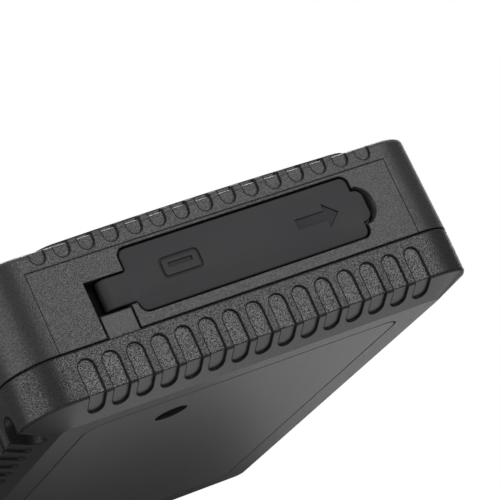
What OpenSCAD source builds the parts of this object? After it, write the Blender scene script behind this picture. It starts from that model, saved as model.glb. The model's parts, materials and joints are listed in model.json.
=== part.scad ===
// Hand-held USB power meter: a two-shell housing with grip grooves all round, a rubber flap over
// the ports, a screwed rear cover over the battery, a display and four keys.
// The meter lies on its rear face, display up. The flap is in the wall that faces -Y.

/* [Housing] */
// Width of the housing, along X
body_w = 96; // [88:1:120]
// Length of the housing, along Y
body_l = 133; // [122:1:150]
// Height of the housing, rear face to front face
body_h = 32.6; // [29.4:0.2:38]
// Height of the front shell, front face to parting line
front_shell_h = 20.6; // [19.2:0.1:22]
// Radius of the upright corners
corner_r = 9; // [8:0.5:12]
// Thickness of the side walls
wall = 3; // [2.8:0.1:3.4]
// Thickness of the front panel
front_t = 2.6; // [2.2:0.1:3]
// Thickness of the rear floor
floor_t = 3.8; // [3.4:0.1:4.4]
// How far the front shell's walls lean in
front_draft = 0.45; // [0.1:0.05:0.6]
// Height of the dark gap at the parting line
seam_gap = 0.35; // [0.2:0.05:0.6]
// Depth of the dark gap at the parting line
seam_depth = 0.6; // [0.3:0.1:1]
// Height of the lip that lines the shells up
lip_h = 1.2; // [0.8:0.1:1.6]
// Thickness of the lip
lip_t = 1.2; // [0.8:0.1:1.4]
// Width of the chamfer round the rear face
rear_chamfer_w = 7; // [4:0.5:7.5]
// Height of the chamfer round the rear face
rear_chamfer_h = 2.85; // [1.5:0.05:3.2]
// Width of the soft step between the rear chamfer and the wall
rear_edge_w = 0.3; // [0.2:0.1:1]
// Height of the soft step above the rear chamfer
rear_edge_h = 0.3; // [0.2:0.1:1]
// Width of the soft step between the wall and the front chamfer
front_edge_w = 0.15; // [0.05:0.05:0.6]
// Height of the soft step below the front chamfer
front_edge_h = 0.5; // [0.3:0.1:1]
// Width of the chamfer round the front rim
front_chamfer_w = 0.4; // [0.2:0.1:1]
// Height of the chamfer round the front rim
front_chamfer_h = 0.3; // [0.2:0.1:0.6]
// Width of the raised middle of the front face
face_w = 68.6; // [66:0.1:74]
// Height of the raised middle above the front rim
face_rise = 0.9; // [0.4:0.1:1.2]
// Distance from the end walls to the raised middle
face_from_end = 1.6; // [1.2:0.1:4]
// How much the raised middle's ends bow out towards the end walls
face_bow = 1.1; // [0.2:0.1:3]
// Corner radius of the raised middle
face_r = 4.5; // [2:0.5:8]
// How far the ribs fall from the raised middle to the end walls
rib_fall = 0.5; // [0.2:0.05:0.8]

/* [Grip grooves] */
// Grooves in each row on the end walls
end_groove_count = 15; // [9:2:15]
// Spacing of the grooves on the end walls
end_groove_pitch = 5; // [4.2:0.1:5.4]
// Width of a groove on the end walls
end_groove_w = 3.3; // [2.4:0.1:3.8]
// Spacing of the grooves on the side walls
side_groove_pitch = 5; // [4.2:0.1:6]
// Width of a groove on the side walls
side_groove_w = 3.3; // [2.4:0.1:3.8]
// Distance from an end wall to the first side groove
side_groove_start = 19; // [18:0.1:26]
// Depth of every groove
groove_depth = 0.4; // [0.2:0.05:0.8]
// Distance from the parting line down to the rear grooves
rear_groove_drop = 2.2; // [1.6:0.1:3]
// Sideways shift of the rear rows on the end walls
rear_row_shift = 0.1; // [-1:0.1:1]
// Sideways shift of the front rows on the end walls
front_row_shift = 0.1; // [-1:0.1:1]
// Reach of the rear end grooves along the chamfer
end_groove_run = 5.1; // [3:0.1:5.8]
// Reach of the rear side grooves along the chamfer
side_groove_run = 4.9; // [3:0.1:5.8]
// Width of a front groove on the end walls
front_groove_w = 3; // [2.4:0.1:3.6]
// Height of the front grooves, down from the front face
front_groove_h = 3.6; // [2.8:0.1:4]
// Bevel at the upper end of the front grooves
groove_bevel = 0.25; // [0.1:0.05:0.3]
// Width of the notch in the left side wall
notch_w = 5.8; // [4:0.1:6.4]
// Distance from the end wall to the middle of the notch
notch_from_end = 12.9; // [12.4:0.1:13.4]
// Distance from the parting line down to the notch
notch_drop = 4.8; // [2:0.1:5]
// Reach of the notch along the chamfer
notch_run = 5.9; // [4:0.1:6.4]
// Depth of the notch
notch_depth = 1.9; // [1:0.1:2]

/* [Port flap] */
// Width of the flap
flap_w = 49.4; // [47:0.1:52]
// Height of the flap
flap_h = 12.5; // [11.8:0.1:13.4]
// Thickness of the flap
flap_t = 1.5; // [1.2:0.1:1.6]
// Middle of the flap, along X
flap_x = 4.45; // [3:0.05:6]
// Distance from the front face to the middle of the flap
flap_from_front = 11.8; // [11.5:0.05:12.1]
// Corner radius of the flap
flap_r = 1.5; // [1:0.1:2.4]
// Gap between the flap and its pocket
flap_gap = 0.4; // [0.2:0.05:0.5]
// Distance of the flap below the wall face at the parting line
flap_inset = 0.45; // [0.1:0.05:0.6]
// Gap between the flap and the pocket floor
flap_seat = 0.15; // [0.1:0.05:0.2]
// Reach of the lift lug
lug_reach = 2.05; // [1.6:0.05:2.6]
// Height of the lift lug
lug_h = 6.5; // [5:0.1:7.2]
// Distance of the lift lug below the middle of the flap
lug_drop = 0.15; // [0:0.05:0.6]
// Reach of the finger scoop past the lug
scoop_reach = 1.75; // [1.2:0.05:2.4]
// Gap between the lug and the scoop's ends
scoop_gap = 0.6; // [0.4:0.1:0.8]
// Length of the strap from the flap to its hinge line
strap_l = 5.35; // [5:0.05:6]
// Height of the strap
strap_h = 5.95; // [5:0.05:6.2]
// Distance of the strap below the middle of the flap
strap_drop = 0.95; // [0.6:0.05:1.4]
// Length of the strap slot to the left of the hinge line
slot_left = 3.35; // [3.2:0.05:4]
// Length of the strap slot to the right of the hinge line
slot_right = 3.75; // [3.2:0.05:3.9]
// Height of the slot above the strap
slot_over = 0.3; // [0.25:0.05:0.5]
// Height of the open gap between the strap and the tongue below it
slot_under = 0.65; // [0.4:0.05:0.8]
// Width of the mould line round the flap
mould_line_w = 77.4; // [74:0.1:80]
// Distance of the mould line above the flap
mould_line_over = 1.05; // [0.6:0.05:1.2]

/* [Rear cover] */
// Width of the cover
cover_w = 68.3; // [67:0.1:70]
// Length of the cover
cover_l = 107.1; // [98:0.1:110]
// Thickness of the cover
cover_t = 1.8; // [1.6:0.1:2]
// Corner radius of the cover
cover_r = 4; // [2:0.5:6]
// Gap round the cover
cover_gap = 0.25; // [0.15:0.05:0.4]
// Middle of the cover screw, along X
cover_screw_x = -12.7; // [-16:0.1:-10]
// Distance from the end wall to the cover screw
cover_screw_from_end = 25; // [23:0.1:27]
// Radius of the screw recess in the cover
cover_hole_r = 3.4; // [2.8:0.1:3.6]

/* [Front] */
// Width of the display window
window_w = 61; // [58:1:64]
// Thickness of the display window
window_t = 1.3; // [1:0.1:1.4]
// Depth of the window below the front face
window_inset = 0.2; // [0.1:0.05:0.3]
// Width of the border of the window that rests on its ledge
window_ledge = 5; // [4.8:0.1:6]
// Distance from the far end wall to the window
window_from_end = 24.5; // [24.5:0.1:30]
// Distance between the keys and the window
window_to_keys = 4.5; // [3:0.1:8]
// Width of a key
key_w = 12; // [9:0.1:12.5]
// Length of a key
key_l = 9; // [6:0.1:10]
// Height of the keys above the front face
key_proud = 0.6; // [0.4:0.1:1]
// Travel of the keys
key_travel = 0.8; // [0.5:0.1:0.8]
// Spacing of the keys
key_pitch = 15; // [14.4:0.1:16]
// Distance from the end wall to the middle of the keys
key_from_end = 33.5; // [33:0.1:36]

/* [Inside] */
// Thickness of the display panel
panel_t = 2.3; // [2:0.1:2.6]
// Height between the two boards
board_rise = 8.2; // [7.4:0.1:8.8]
// Thickness of the main board
main_t = 1.6; // [1.4:0.1:1.8]
// Thickness of the upper board
upper_t = 1.2; // [1:0.1:1.4]
// Distance from a side wall to the case screws
post_from_side = 17.5; // [16:0.1:18]
// Distance from an end wall to the case screws
post_from_end = 22; // [21.6:0.1:22.4]
// Radius of the screw posts
post_r = 3; // [2.6:0.1:3.1]
// Radius of the screws
screw_r = 1.25; // [1:0.05:1.5]
// Radius of the screw heads
screw_head_r = 2.2; // [2:0.1:2.4]
// Height of the screw heads
screw_head_h = 1.7; // [1.4:0.1:1.8]
// Width of the battery pack
battery_w = 56; // [46:1:60]
// Length of the battery pack
battery_l = 60; // [40:1:62]
// Middle of the battery pack, along Y
battery_y = 2; // [1:0.5:4]
// Height between the battery pack and the main board
contact_h = 4; // [3:0.1:5]

/* [Hidden] */
$fn = 48;

// Clearances
fit = 0.1;
slip = 0.3;
over = 1;

// Colours
shell_colour = [0.30, 0.30, 0.31];
rubber_colour = [0.22, 0.22, 0.24];
board_colour = [0.05, 0.30, 0.16];
metal_colour = [0.75, 0.75, 0.77];
black_plastic = [0.12, 0.12, 0.13];

// Housing
end_y = -body_l / 2;
wall_in_y = end_y + wall;
inner_r = corner_r - wall;
front_in_z = body_h - front_t;
parting_z = body_h - front_shell_h;
rim_angle = atan2(rear_chamfer_h, rear_chamfer_w);
rear_edge_z = rear_chamfer_h * (1 - rear_edge_w / rear_chamfer_w);
rear_edge_top = rear_chamfer_h + rear_edge_h;
rim_z = body_h - face_rise;
front_chamfer_z = rim_z - front_chamfer_h;
front_edge_z = front_chamfer_z - front_edge_h;
front_edge_in = front_draft + front_edge_w;
draft_angle = atan2(front_draft, front_edge_z - parting_z);
side_groove_count = floor((body_l - 2 * side_groove_start) / side_groove_pitch) + 1;
rear_groove_top = parting_z - rear_groove_drop;
notch_top = parting_z - notch_drop;
notch_backing = 1.2;
rib_dip = 0.05;
rib_w = end_groove_pitch - front_groove_w - fit;
face_half = face_w / 2 - face_r;
face_steps = 8;
mould_line_t = 0.15;
mould_line_depth = 0.08;
lip_stop = 2;

// Flap, strap and slot
flap_z = body_h - flap_from_front;
flap_left = flap_x - flap_w / 2;
flap_right = flap_x + flap_w / 2;
flap_top = flap_z + flap_h / 2;
flap_out_y = end_y + flap_inset;
flap_in_y = flap_out_y + flap_t;
pocket_y = flap_in_y + flap_seat;
hinge_x = flap_left - strap_l;
hinge_y = flap_out_y + flap_t / 2;
strap_z = flap_z - strap_drop;
strap_top = strap_z + strap_h / 2;
strap_low = strap_z - strap_h / 2;
slot_x0 = hinge_x - slot_left;
slot_x1 = hinge_x + slot_right;
slot_top = strap_top + slot_over;
tongue_top = strap_low - slot_under;
tongue_inset = 0.15;
anchor_t = 1.8;
anchor_y = wall_in_y + anchor_t;
anchor_grip = 1;
anchor_gap = 0.5;
lug_z = flap_z - lug_drop;
lug_r = 1.5;
scoop_r = 4.5;
scoop_low_r = 3.4;
scoop_right = flap_right + lug_reach + scoop_reach;
bung_l = 1.5;
bung_gap = 0.5;

// Cover and its screw
cover_screw_y = end_y + cover_screw_from_end;
cup_wall = 1.2;
cup_r = cover_hole_r + cup_wall;
cup_floor = 1;
cup_depth = 3.2;
cup_top = cup_depth + cup_floor;
cover_screw_l = 6.2;
cover_boss_wall = 1.2;
cover_boss_r = cup_r + slip + cover_boss_wall;
cover_boss_top = cup_depth + cover_screw_l + cover_boss_wall;
hook_w = 8;
hook_x = 20;
hook_reach = 2;
hook_t = 0.8;

// Keys and display stack
key_y = end_y + key_from_end;
window_near_y = key_y + key_l / 2 + window_to_keys;
window_far_y = body_l / 2 - window_from_end;
window_y = (window_near_y + window_far_y) / 2;
window_l = window_far_y - window_near_y;
window_r = 3;
ledge_z = body_h - window_inset - window_t;
view_w = window_w - 2 * window_ledge;
view_l = window_l - 2 * window_ledge;
view_r = 1.5;
frame_floor = 0.8;
frame_wall = 0.6;
frame_rise = 1.4;
panel_side = 3;
panel_end = 2;
panel_w = view_w + 2 * panel_side;
panel_l = view_l + 2 * panel_end;
panel_z = front_in_z - panel_t;
upper_top = panel_z - frame_floor;
upper_z = upper_top - upper_t;
key_r = 1.5;
key_flange = 0.7;
key_flange_t = 0.8;
key_gap = 0.3;
key_seat = 0.1;
key_top = body_h + key_proud;
key_flange_z = front_in_z - key_seat - key_flange_t;
key_floor_gap = 0.2;
switch_s = 6;
switch_h = key_flange_z - key_travel - key_floor_gap - upper_top;
stem_r = 1.6;
stem_dip = 0.1;
stem_z = upper_top + switch_h - stem_dip;
upper_side_gap = 3.2;
upper_near_gap = 4.2;
upper_far_gap = 2.2;

// Main board, posts and screws
main_top = upper_z - board_rise;
main_z = main_top - main_t;
main_side_gap = 7.2;
main_near_gap = 0.4;
main_far_gap = 3.2;
main_half = body_w / 2 - wall - main_side_gap;
post_x = body_w / 2 - post_from_side;
post_y = body_l / 2 - post_from_end;
post_step = 1;
spacer_t = 0.95;
thread_gap = 0.05;
screw_gap = 0.15;
screw_hole_r = screw_r + screw_gap;
head_gap = 0.2;
recess_w = 0.7;
recess_l = 2.6;
recess_depth = 0.85;
case_screw_grip = 7;
header_w = 20;
header_l = 5;
header_from_post = 7;

// Ports
port_recess = 0.3;
port_y = pocket_y + port_recess;
port_gap = 0.25;
port_sheet = 0.3;
usb_a_x = 18.5;
usb_a_w = 13.1;
usb_a_h = 6.2;
usb_a_l = 14;
usb_a_tongue_w = 11;
usb_a_tongue_t = 1.9;
usb_a_tongue_lift = 0.2;
usb_c_x = 3.5;
usb_c_w = 8.94;
usb_c_h = 3.26;
usb_c_l = 8.5;
usb_c_flat = 0.04;
usb_c_tongue_w = 6.7;
usb_c_tongue_t = 0.7;
micro_x = -10.5;
micro_w = 7.5;
micro_h = 2.9;
micro_l = 6.5;
micro_slope = 0.9;
micro_tongue_w = 4;
micro_tongue_t = 0.6;
micro_tongue_gap = 1;
tongue_back = 1.6;
tongue_block = 2.5;

// Parts on the main board, placed from the port end and from the board's nearer side
shunt_from_side = 19.8;
shunt_x = main_half - shunt_from_side;
shunt_from_end = 22;
shunt_w = 12;
shunt_l = 5;
shunt_h = 1.2;
shunt_r = 0.6;
inductor_from_side = 32.8;
inductor_x = main_half - inductor_from_side;
inductor_from_end = 22;
inductor_s = 7;
inductor_h = 4;
inductor_r = 1.5;
chip_from_side = 31.8;
chip_x = chip_from_side - main_half;
chip_from_end = 55;
chip_s = 10;
chip_h = 1.4;
chip_r = 0.3;
capacitor_count = 3;
capacitor_from_side = 21.8;
capacitor_x = main_half - capacitor_from_side;
capacitor_from_end = 34;
capacitor_pitch = 7.5;
capacitor_r = 3.1;
capacitor_h = 5.4;
buzzer_from_side = 13.8;
buzzer_x = buzzer_from_side - main_half;
buzzer_from_end = 60;
buzzer_r = 6;
buzzer_h = 5;
buzzer_hole_r = 1.2;
buzzer_hole_depth = 1;

// Battery
battery_h = main_z - contact_h - cover_t;
battery_r = 2;
battery_gap = 0.4;
well_wall = 1.2;
well_w = battery_w + 2 * battery_gap;
well_l = battery_l + 2 * battery_gap;
well_top = cover_t + battery_h + battery_gap;
contact_w = 8;
contact_l = 4;
contact_from_edge = 5;
contact_y = battery_y + battery_l / 2 - contact_from_edge;

// Flat shapes
module rounded_rect(w, l, r) {
    square([w - 2 * r, l], center = true);
    square([w, l - 2 * r], center = true);
    for (x = [-1, 1], y = [-1, 1])
        translate([x * (w / 2 - r), y * (l / 2 - r)]) circle(r);
}

// Strip of width w from y0 up to y1, with a round top
module round_top_strip(w, y0, y1) {
    translate([-w / 2, y0]) square([w, y1 - w / 2 - y0]);
    translate([0, y1 - w / 2]) circle(w / 2);
}

// Solid with the housing's outline, whose edge follows a rim of [inset, height] points, low to high
module outline_solid(rim) {
    for (x = [-1, 1], y = [-1, 1])
        translate([x * (body_w / 2 - corner_r), y * (body_l / 2 - corner_r), 0])
            rotate_extrude() rim_profile(rim, corner_r, 0);
    rotate([90, 0, 0]) linear_extrude(body_l - 2 * corner_r, center = true)
        rim_profile(rim, body_w / 2, -1);
    rotate([90, 0, 90]) linear_extrude(body_w - 2 * corner_r, center = true)
        rim_profile(rim, body_l / 2, -1);
}

// Half of the outline for side 0, or both halves for side -1
module rim_profile(rim, half, side) {
    polygon(concat([for (p = rim) [half - p.x, p.y]],
                   [for (i = [len(rim) - 1:-1:0]) [side * (half - rim[i].x), rim[i].y]]));
}

module box_between(low, high) {
    translate(low) cube(high - low);
}

module at_posts() {
    for (x = [-1, 1], y = [-1, 1])
        translate([x * post_x, y * post_y, 0]) children();
}

// Flat shape in X and Z, set out from y0 to y1
module upright(y0, y1) {
    translate([0, y1, 0]) rotate([90, 0, 0]) linear_extrude(y1 - y0) children();
}

// Grip grooves, on the wall that faces -Y at the distance half
module rear_groove(half, w, top, run, depth) {
    upright(-half - over, -half + depth) round_top_strip(w, 0, top);
    translate([0, -half, rear_chamfer_h]) rotate([-rim_angle, 0, 0]) translate([0, 0, -over])
        linear_extrude(over + depth) round_top_strip(w, -depth, run);
}

module front_groove(half, w) {
    upright(-half - over, -half + front_draft + groove_depth)
        translate([0, body_h]) mirror([0, 1]) round_top_strip(w, -over, front_groove_h);
    translate([0, -half + front_draft + groove_depth, rim_z]) rotate([90, 0, 90])
        linear_extrude(w, center = true)
            polygon([[-over, -groove_bevel - over], [groove_bevel, 0], [groove_bevel, fit],
                     [-over, fit]]);
}

module groove_row(count, pitch, shift) {
    for (i = [0:count - 1])
        translate([(i - (count - 1) / 2) * pitch + shift, 0, 0]) children();
}

module rear_grooves() {
    for (turn = [0, 180])
        rotate([0, 0, turn]) groove_row(end_groove_count, end_groove_pitch, rear_row_shift)
            rear_groove(body_l / 2, end_groove_w, rear_groove_top, end_groove_run, groove_depth);
    for (turn = [-90, 90])
        rotate([0, 0, turn]) groove_row(side_groove_count, side_groove_pitch, 0)
            rear_groove(body_w / 2, side_groove_w, rear_groove_top, side_groove_run, groove_depth);
}

module front_grooves() {
    for (turn = [0, 180])
        rotate([0, 0, turn]) groove_row(end_groove_count, end_groove_pitch, front_row_shift)
            front_groove(body_l / 2, front_groove_w);
    for (turn = [-90, 90])
        rotate([0, 0, turn]) groove_row(side_groove_count, side_groove_pitch, 0)
            front_groove(body_w / 2, side_groove_w);
}

// Flap outlines, seen from outside the wall
module flap_outline(grow) {
    translate([flap_x, flap_z])
        rounded_rect(flap_w + 2 * grow, flap_h + 2 * grow, flap_r + grow);
    translate([flap_right, lug_z])
        rounded_rect(2 * (lug_reach + grow), lug_h + 2 * grow, lug_r + grow);
}

module strap_outline(x0, above, below) {
    translate([x0, strap_low - below])
        square([flap_left + flap_r - x0, strap_h + above + below]);
}

// Port outlines, standing on the main board
module usb_a_outline(grow) {
    translate([usb_a_x, main_top + usb_a_h / 2])
        square([usb_a_w + 2 * grow, usb_a_h + 2 * grow], center = true);
}

module usb_c_outline(grow) {
    translate([usb_c_x, main_top + usb_c_h / 2])
        rounded_rect(usb_c_w + 2 * grow, usb_c_h + 2 * grow, (usb_c_h - usb_c_flat) / 2 + grow);
}

module micro_outline(grow) {
    half = micro_w / 2 + grow;
    low = main_top - grow;
    top = main_top + micro_h + grow;
    translate([micro_x, 0])
        polygon([[-half + micro_slope, low], [half - micro_slope, low], [half, low + micro_slope],
                 [half, top], [-half, top], [-half, low + micro_slope]]);
}

module port_outlines(grow) {
    usb_a_outline(grow);
    usb_c_outline(grow);
    micro_outline(grow);
}

// Front half of the housing
module front_shell() {
    color(shell_colour) difference() {
        union() {
            front_skin();
            raised_face();
            at_posts() front_post();
        }
        front_grooves();
        flap_pocket();
        upright(pocket_y - over, wall_in_y + over) port_outlines(port_gap);
        mould_line();
        window_cut();
        key_holes();
        at_posts() translate([0, 0, main_top - over])
            cylinder(over + case_screw_grip + over, r = screw_r + thread_gap);
    }
}

module front_skin() {
    difference() {
        outline_solid([[0, parting_z], [front_draft, front_edge_z], [front_edge_in, front_chamfer_z],
                       [front_edge_in + front_chamfer_w, rim_z]]);
        translate([0, 0, parting_z - over]) linear_extrude(front_in_z - parting_z + over)
            rounded_rect(body_w - 2 * wall, body_l - 2 * wall, inner_r);
        translate([0, 0, parting_z - over]) linear_extrude(lip_h + fit + over)
            lip_outline(fit);
    }
}

// Raised middle of the front face, and the ribs that run up to it between the grooves of the end walls
module raised_face() {
    translate([0, 0, front_edge_z]) linear_extrude(body_h - front_edge_z) face_outline();
    for (turn = [0, 180], i = [1:end_groove_count - 3])
        rotate([0, 0, turn])
            face_rib((i - (end_groove_count - 2) / 2) * end_groove_pitch + front_row_shift);
}

// Rounded rectangle whose two ends bow out
module face_outline() {
    corner_y = body_l / 2 - face_from_end - face_bow;
    rounded_rect(face_w, 2 * corner_y, face_r);
    for (turn = [0, 180])
        rotate(turn) polygon(concat(
            [for (i = [0:face_steps]) bow_point(face_half * (2 * i / face_steps - 1))],
            [[face_half, fit - corner_y], [-face_half, fit - corner_y]]));
}

function bow_point(x) = [x, end_y + face_edge(x)];

// Distance from the end wall to the raised middle, at the place x along the wall
function face_edge(x) = abs(x) < face_half ? face_from_end + face_bow * pow(x / face_half, 2)
    : face_from_end + face_bow + face_r - sqrt(pow(face_r, 2) - pow(min(abs(x) - face_half, face_r), 2));

module face_rib(x) {
    rib_y = end_y + front_draft + fit;
    back_y = end_y + face_edge(abs(x) + rib_w / 2) + fit;
    rib_top = body_h - rib_dip;
    translate([x, 0, 0]) rotate([90, 0, 90]) linear_extrude(rib_w, center = true)
        polygon([[rib_y, front_edge_z], [rib_y, rib_top - rib_fall],
                 [back_y, rib_top], [back_y, front_edge_z]]);
}

// Outer edge of the lip that stands on the rear shell's rim
module lip_outline(grow) {
    inset = wall - lip_t - grow;
    rounded_rect(body_w - 2 * inset, body_l - 2 * inset, corner_r - inset);
}

// Post that reaches down to the main board, with a step that the upper board rests against
module front_post() {
    translate([0, 0, main_top]) cylinder(front_in_z - main_top + fit, r = post_r);
    translate([0, 0, upper_top]) cylinder(front_in_z - upper_top + fit, r = post_r + post_step);
}

module flap_pocket() {
    upright(end_y - over, pocket_y) {
        flap_outline(flap_gap);
        strap_outline(slot_x0 + slip, slot_over, flap_gap);
    }
    upright(end_y - over, wall_in_y + over) translate([slot_x0, parting_z - over])
        square([slot_x1 - slot_x0, slot_top - parting_z + over]);
    scoop();
}

// Finger scoop beside the lug, drawn in with depth
module scoop() {
    slope = (scoop_r - scoop_low_r) / (pocket_y - end_y);
    intersection() {
        translate([scoop_right - scoop_r, end_y - over, lug_z]) rotate([-90, 0, 0])
            cylinder(pocket_y - end_y + over, scoop_r + slope * over, scoop_low_r);
        upright(end_y - over, pocket_y) translate([flap_right, lug_z - lug_h / 2 - scoop_gap])
            square([scoop_right + over - flap_right, lug_h + 2 * scoop_gap]);
    }
}

// Fine line that the mould insert leaves round the flap, on the leaning wall
module mould_line() {
    rise = flap_top + mould_line_over - parting_z;
    translate([0, end_y, parting_z]) rotate([-draft_angle, 0, 0])
        upright(-over, mould_line_depth) difference() {
            translate([-mould_line_w / 2, -over]) square([mould_line_w, rise + over]);
            translate([-mould_line_w / 2 + mould_line_t, -2 * over])
                square([mould_line_w - 2 * mould_line_t, rise - mould_line_t + 2 * over]);
        }
}

module window_cut() {
    translate([0, window_y, ledge_z]) linear_extrude(window_t + window_inset + over)
        rounded_rect(window_w + 2 * fit, window_l + 2 * fit, window_r + fit);
    translate([0, window_y, front_in_z - over]) linear_extrude(front_t + 2 * over)
        rounded_rect(view_w, view_l, view_r);
}

module key_holes() {
    for (i = [0:3])
        translate([key_x(i), key_y, front_in_z - over]) linear_extrude(front_t + 2 * over)
            rounded_rect(key_w + 2 * key_gap, key_l + 2 * key_gap, key_r + key_gap);
}

function key_x(i) = (i - 1.5) * key_pitch;

// Rear half of the housing
module rear_shell() {
    color(shell_colour) difference() {
        union() {
            rear_skin();
            at_posts() cylinder(main_z, r = post_r);
            battery_well_outside();
            cover_screw_boss();
            slot_tongue();
            notch_pad();
        }
        rear_grooves();
        side_notch();
        cover_recess();
        battery_well_inside();
        cover_screw_hole();
        at_posts() case_screw_hole();
    }
}

module rear_skin() {
    difference() {
        union() {
            outline_solid([[rear_chamfer_w, 0], [rear_edge_w, rear_edge_z], [0, rear_edge_top],
                           [0, parting_z - seam_gap], [seam_depth, parting_z - seam_gap],
                           [seam_depth, parting_z]]);
            rear_lip();
        }
        translate([0, 0, floor_t]) linear_extrude(parting_z + lip_h)
            rounded_rect(body_w - 2 * wall, body_l - 2 * wall, inner_r);
    }
}

// Lip on the rim, left out below the flap
module rear_lip() {
    difference() {
        translate([0, 0, parting_z - over]) linear_extrude(lip_h + over) lip_outline(0);
        box_between([slot_x0 - lip_stop, end_y - over, parting_z],
                    [scoop_right + lip_stop, wall_in_y + over, parting_z + lip_h + over]);
    }
}

// Tongue that closes the strap slot from below and holds the strap's end
module slot_tongue() {
    box_between([slot_x0 + slip, end_y + tongue_inset, parting_z - seam_gap - over],
                [slot_x1 - slip, anchor_y, tongue_top]);
}

// Deep notch near the left corner, and the thicker wall behind it
module side_notch() {
    rotate([0, 0, -90]) translate([notch_x(), 0, 0])
        rear_groove(body_w / 2, notch_w, notch_top, notch_run, notch_depth);
}

module notch_pad() {
    pad_w = notch_w + 2 * notch_backing;
    box_between([-body_w / 2 + wall - over, end_y + notch_from_end - pad_w / 2, floor_t - over],
                [-body_w / 2 + wall + notch_backing, end_y + notch_from_end + pad_w / 2, parting_z]);
}

function notch_x() = body_l / 2 - notch_from_end;

module cover_recess() {
    translate([0, 0, -over]) linear_extrude(over + cover_t)
        rounded_rect(cover_w + 2 * cover_gap, cover_l + 2 * cover_gap, cover_r + cover_gap);
    for (x = [-hook_x, hook_x])
        box_between([x - hook_w / 2 - slip, cover_l / 2 - over, cover_t - hook_t - fit],
                    [x + hook_w / 2 + slip, cover_l / 2 + hook_reach + slip, cover_t]);
}

module battery_well_outside() {
    translate([0, battery_y, floor_t - over])
        linear_extrude(well_top + well_wall - floor_t + over)
        square([well_w + 2 * well_wall, well_l + 2 * well_wall], center = true);
}

module battery_well_inside() {
    translate([0, battery_y, -over]) linear_extrude(over + well_top)
        square([well_w, well_l], center = true);
    translate([0, contact_y, well_top - over]) linear_extrude(well_wall + 2 * over)
        square([contact_w + 2 * slip, contact_l + 2 * slip], center = true);
}

module cover_screw_boss() {
    translate([cover_screw_x, cover_screw_y, floor_t - over])
        cylinder(cover_boss_top - floor_t + over, r = cover_boss_r);
}

module cover_screw_hole() {
    translate([cover_screw_x, cover_screw_y, -over]) {
        cylinder(over + cup_top + fit, r = cup_r + slip);
        cylinder(over + cup_depth + cover_screw_l + fit, r = screw_r + thread_gap);
    }
}

module case_screw_hole() {
    translate([0, 0, -over]) {
        cylinder(over + cover_t + screw_head_h + head_gap, r = screw_head_r + head_gap);
        cylinder(main_z + 2 * over, r = screw_hole_r);
    }
}

// Flush rear cover, hooked at the far end and held by one screw
module rear_cover() {
    color(shell_colour) difference() {
        union() {
            linear_extrude(cover_t) rounded_rect(cover_w, cover_l, cover_r);
            translate([cover_screw_x, cover_screw_y, 0]) cylinder(cup_top, r = cup_r);
            for (x = [-hook_x, hook_x])
                box_between([x - hook_w / 2, cover_l / 2 - over, cover_t - hook_t],
                            [x + hook_w / 2, cover_l / 2 + hook_reach, cover_t]);
        }
        translate([cover_screw_x, cover_screw_y, -over]) {
            cylinder(over + cup_depth, r = cover_hole_r);
            cylinder(over + cup_top + over, r = screw_hole_r);
        }
    }
}

// Screw with its head down and a cross recess
module screw(head_z, grip) {
    difference() {
        union() {
            translate([0, 0, head_z - screw_head_h]) cylinder(screw_head_h, r = screw_head_r);
            translate([0, 0, head_z - fit]) cylinder(grip + fit, r = screw_r);
        }
        for (turn = [0, 90])
            rotate([0, 0, turn]) translate([0, 0, head_z - screw_head_h])
                cube([recess_l, recess_w, 2 * recess_depth], center = true);
    }
}

module cover_screw() {
    color(metal_colour) translate([cover_screw_x, cover_screw_y, 0])
        screw(cup_depth, cover_screw_l);
}

module case_screws() {
    head_z = cover_t + screw_head_h + head_gap;
    color(metal_colour) at_posts() screw(head_z, main_top + case_screw_grip - head_z);
}

// Rubber flap with its lug, strap and a plug for each port
module port_flap() {
    color(rubber_colour) {
        upright(flap_out_y, flap_in_y) {
            flap_outline(0);
            strap_outline(hinge_x, 0, 0);
        }
        translate([hinge_x, hinge_y, strap_low]) cylinder(strap_h, r = flap_t / 2);
        upright(flap_in_y - fit, flap_in_y + bung_l) port_outlines(-port_sheet - bung_gap);
    }
}

// End of the strap, with a bar that is trapped behind the wall
module flap_anchor() {
    color(rubber_colour) {
        box_between([hinge_x - flap_t / 2, hinge_y + flap_t / 2 + slip, strap_low],
                    [hinge_x + flap_t / 2, wall_in_y + fit, strap_top]);
        box_between([slot_x0 - anchor_grip, wall_in_y, tongue_top],
                    [slot_x1 + anchor_grip, anchor_y, slot_top]);
    }
}

// Display
module display_window() {
    color([0.03, 0.03, 0.04]) translate([0, window_y, ledge_z])
        linear_extrude(window_t) rounded_rect(window_w, window_l, window_r);
}

module display_module() {
    color([0.10, 0.12, 0.14]) translate([-panel_w / 2, window_y - panel_l / 2, panel_z])
        cube([panel_w, panel_l, front_in_z - panel_z]);
}

module display_frame() {
    outer_w = panel_w + 2 * (frame_wall + fit);
    outer_l = panel_l + 2 * (frame_wall + fit);
    color(metal_colour) translate([0, window_y, upper_top]) difference() {
        linear_extrude(frame_floor + frame_rise) square([outer_w, outer_l], center = true);
        translate([0, 0, frame_floor]) linear_extrude(frame_rise + over)
            square([panel_w + 2 * fit, panel_l + 2 * fit], center = true);
    }
}

// Keys, from left to right
module key(i) {
    color(rubber_colour) translate([key_x(i), key_y, 0]) {
        translate([0, 0, key_flange_z]) linear_extrude(key_top - key_flange_z)
            rounded_rect(key_w, key_l, key_r);
        translate([0, 0, key_flange_z]) linear_extrude(key_flange_t)
            rounded_rect(key_w + 2 * key_flange, key_l + 2 * key_flange, key_r);
        translate([0, 0, stem_z]) cylinder(key_flange_z - stem_z + fit, r = stem_r);
    }
}

module key_power() { key(0); }
module key_previous() { key(1); }
module key_next() { key(2); }
module key_enter() { key(3); }

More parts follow.
